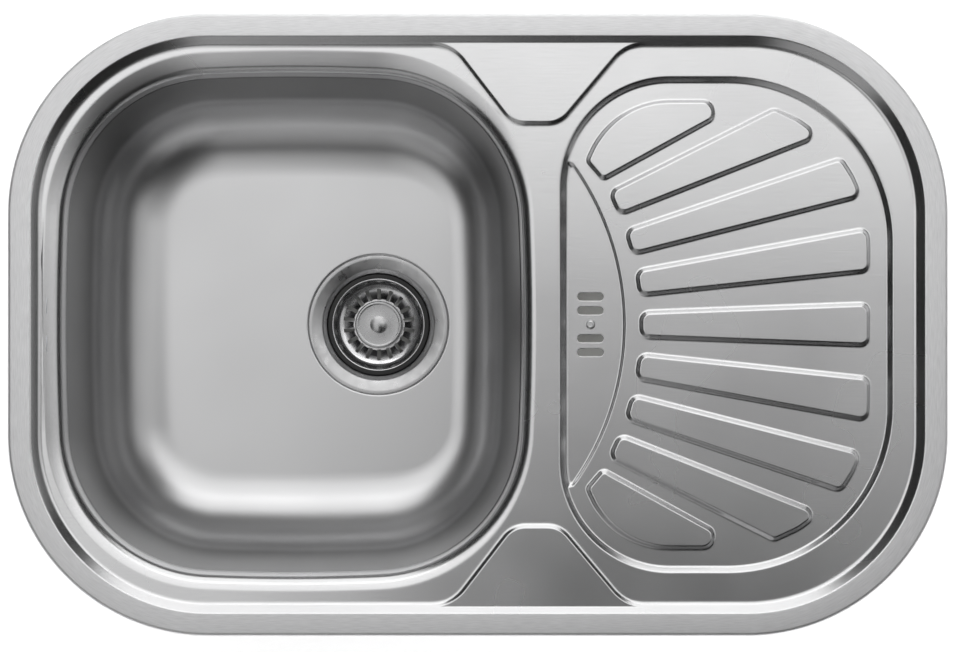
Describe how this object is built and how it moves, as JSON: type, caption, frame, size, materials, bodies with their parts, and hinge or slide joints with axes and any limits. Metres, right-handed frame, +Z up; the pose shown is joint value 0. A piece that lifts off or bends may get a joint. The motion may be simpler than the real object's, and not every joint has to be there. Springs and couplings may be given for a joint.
{
  "type": "inset kitchen sink",
  "caption": "Inset stainless steel kitchen sink with a deep rounded bowl, basket strainer waste, overflow and a recessed drainer with a fan of raised ribs.",
  "frame": {"origin": "middle of the sink's outline on the worktop's upper face, which is the underside of the rim gasket", "axes": "+Z up out of the worktop, +X from the bowl to the drainer, +Y to the back edge (tap side)"},
  "size_m": [0.74, 0.49, 0.265],
  "materials": {
    "plate_steel": "satin stainless steel sheet",
    "bowl_steel": "satin stainless steel, drawn",
    "strainer_steel": "bright pressed stainless steel",
    "basket_steel": "polished stainless steel",
    "knob_steel": "polished stainless steel",
    "plain_steel": "plain stainless steel",
    "zinc_steel": "zinc-plated steel",
    "brass": "turned brass",
    "black_rubber": "matte black rubber",
    "grey_foam": "closed-cell foam strip",
    "damping_pad": "bitumen damping pad",
    "white_plastic": "moulded polypropylene",
    "grey_plastic": "moulded polypropylene"
  },
  "bodies": {
    "sink": {"drainer_plate": "plate_steel", "bowl": "bowl_steel", "strainer_flange": "strainer_steel", "flange_gasket": "black_rubber", "body_gasket": "black_rubber", "overflow_gasket": "black_rubber", "pipe_seal_top": "black_rubber", "pipe_seal_bottom": "black_rubber", "rim_gasket": "grey_foam", "sound_pad": "damping_pad", "waste_body": "white_plastic", "overflow_body": "white_plastic", "overflow_pipe": "white_plastic", "pipe_nut_top": "grey_plastic", "pipe_nut_bottom": "grey_plastic", "clamp_screw": "plain_steel", "overflow_screw": "plain_steel", "clamp_insert": "brass", "overflow_insert": "brass", "clip_brackets": "zinc_steel"},
    "basket": {"basket": "basket_steel", "basket_seal": "black_rubber", "basket_knob": "knob_steel", "basket_pin": "knob_steel"},
    "clip_screw_1": {"clip_screw_1": "zinc_steel"},
    "clip_claw_1": {"clip_claw_1": "zinc_steel"},
    "clip_screw_2": {"clip_screw_2": "zinc_steel"},
    "clip_claw_2": {"clip_claw_2": "zinc_steel"},
    "clip_screw_3": {"clip_screw_3": "zinc_steel"},
    "clip_claw_3": {"clip_claw_3": "zinc_steel"},
    "clip_screw_4": {"clip_screw_4": "zinc_steel"},
    "clip_claw_4": {"clip_claw_4": "zinc_steel"},
    "clip_screw_5": {"clip_screw_5": "zinc_steel"},
    "clip_claw_5": {"clip_claw_5": "zinc_steel"},
    "clip_screw_6": {"clip_screw_6": "zinc_steel"},
    "clip_claw_6": {"clip_claw_6": "zinc_steel"},
    "clip_screw_7": {"clip_screw_7": "zinc_steel"},
    "clip_claw_7": {"clip_claw_7": "zinc_steel"},
    "clip_screw_8": {"clip_screw_8": "zinc_steel"},
    "clip_claw_8": {"clip_claw_8": "zinc_steel"}
  },
  "joints": [
    {"name": "basket_lift", "type": "slide", "parent": "sink", "child": "basket", "axis": [0, 0, 1], "range_m": [0, 0.25]},
    {"name": "clip_1_tighten", "type": "slide", "parent": "sink", "child": "clip_screw_1", "axis": [0, 0, 1], "range_m": [0, 0.012]},
    {"name": "clip_1_swing", "type": "hinge", "parent": "clip_screw_1", "child": "clip_claw_1", "pos_m": [-0.19, 0.2164, -0.057], "axis": [0, 0, 1], "range_deg": [0, 90]},
    {"name": "clip_2_tighten", "type": "slide", "parent": "sink", "child": "clip_screw_2", "axis": [0, 0, 1], "range_m": [0, 0.012]},
    {"name": "clip_2_swing", "type": "hinge", "parent": "clip_screw_2", "child": "clip_claw_2", "pos_m": [-0.06, 0.2164, -0.057], "axis": [0, 0, 1], "range_deg": [0, 90]},
    {"name": "clip_3_tighten", "type": "slide", "parent": "sink", "child": "clip_screw_3", "axis": [0, 0, 1], "range_m": [0, 0.012]},
    {"name": "clip_3_swing", "type": "hinge", "parent": "clip_screw_3", "child": "clip_claw_3", "pos_m": [0.19, 0.2164, -0.057], "axis": [0, 0, 1], "range_deg": [0, 90]},
    {"name": "clip_4_tighten", "type": "slide", "parent": "sink", "child": "clip_screw_4", "axis": [0, 0, 1], "range_m": [0, 0.012]},
    {"name": "clip_4_swing", "type": "hinge", "parent": "clip_screw_4", "child": "clip_claw_4", "pos_m": [0.3414, 0, -0.057], "axis": [0, 0, 1], "range_deg": [0, 90]},
    {"name": "clip_5_tighten", "type": "slide", "parent": "sink", "child": "clip_screw_5", "axis": [0, 0, 1], "range_m": [0, 0.012]},
    {"name": "clip_5_swing", "type": "hinge", "parent": "clip_screw_5", "child": "clip_claw_5", "pos_m": [0.19, -0.2164, -0.057], "axis": [0, 0, 1], "range_deg": [0, 90]},
    {"name": "clip_6_tighten", "type": "slide", "parent": "sink", "child": "clip_screw_6", "axis": [0, 0, 1], "range_m": [0, 0.012]},
    {"name": "clip_6_swing", "type": "hinge", "parent": "clip_screw_6", "child": "clip_claw_6", "pos_m": [-0.06, -0.2164, -0.057], "axis": [0, 0, 1], "range_deg": [0, 90]},
    {"name": "clip_7_tighten", "type": "slide", "parent": "sink", "child": "clip_screw_7", "axis": [0, 0, 1], "range_m": [0, 0.012]},
    {"name": "clip_7_swing", "type": "hinge", "parent": "clip_screw_7", "child": "clip_claw_7", "pos_m": [-0.19, -0.2164, -0.057], "axis": [0, 0, 1], "range_deg": [0, 90]},
    {"name": "clip_8_tighten", "type": "slide", "parent": "sink", "child": "clip_screw_8", "axis": [0, 0, 1], "range_m": [0, 0.012]},
    {"name": "clip_8_swing", "type": "hinge", "parent": "clip_screw_8", "child": "clip_claw_8", "pos_m": [-0.3414, 0, -0.057], "axis": [0, 0, 1], "range_deg": [0, 90]}
  ]
}
